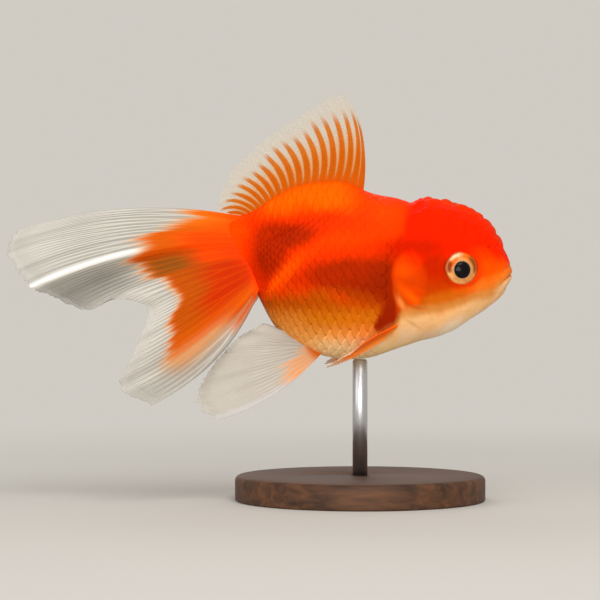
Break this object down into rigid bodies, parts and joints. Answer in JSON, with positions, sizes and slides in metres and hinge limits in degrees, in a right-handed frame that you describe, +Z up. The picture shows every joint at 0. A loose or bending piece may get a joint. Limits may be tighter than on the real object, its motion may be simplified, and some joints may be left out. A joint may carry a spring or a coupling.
{
  "type": "oranda fancy goldfish model",
  "caption": "Life-size still model of a young red and white fancy goldfish with a double tail and a low head growth, on a plain round display stand.",
  "frame": {"origin": "centre of the underside of the stand's round base", "axes": "+X towards the fish's mouth, +Z up, so its right side faces -Y"},
  "size_m": [0.1006, 0.05, 0.0817],
  "materials": {
    "skin_red": "bright red wet skin",
    "skin_orange": "orange-red scales, paler on the belly",
    "skin_pale": "peach to white skin",
    "fin_orange": "orange rays in a thin clear membrane",
    "fin_white": "thin milky membrane with fine white rays, orange at the root",
    "eye": "black pupil in a cream and gold ring under a clear cornea",
    "stand_wood": "dark stained wood, satin",
    "stand_steel": "satin steel"
  },
  "bodies": {
    "root": {"head": "skin_red", "wen": "skin_red", "lower_jaw": "skin_pale", "gill_cover_right": "skin_orange", "gill_cover_left": "skin_orange", "trunk": "skin_orange", "tail_stalk": "skin_orange", "eye_right": "eye", "eye_left": "eye", "fin_dorsal": "fin_orange", "fin_pectoral_right": "fin_orange", "fin_pectoral_left": "fin_orange", "fin_pelvic_right": "fin_white", "fin_pelvic_left": "fin_white", "fin_anal_right": "fin_white", "fin_anal_left": "fin_white", "tail_upper_right": "fin_white", "tail_lower_right": "fin_white", "tail_upper_left": "fin_white", "tail_lower_left": "fin_white", "stand_base": "stand_wood", "stand_rod": "stand_steel"}
  },
  "joints": []
}
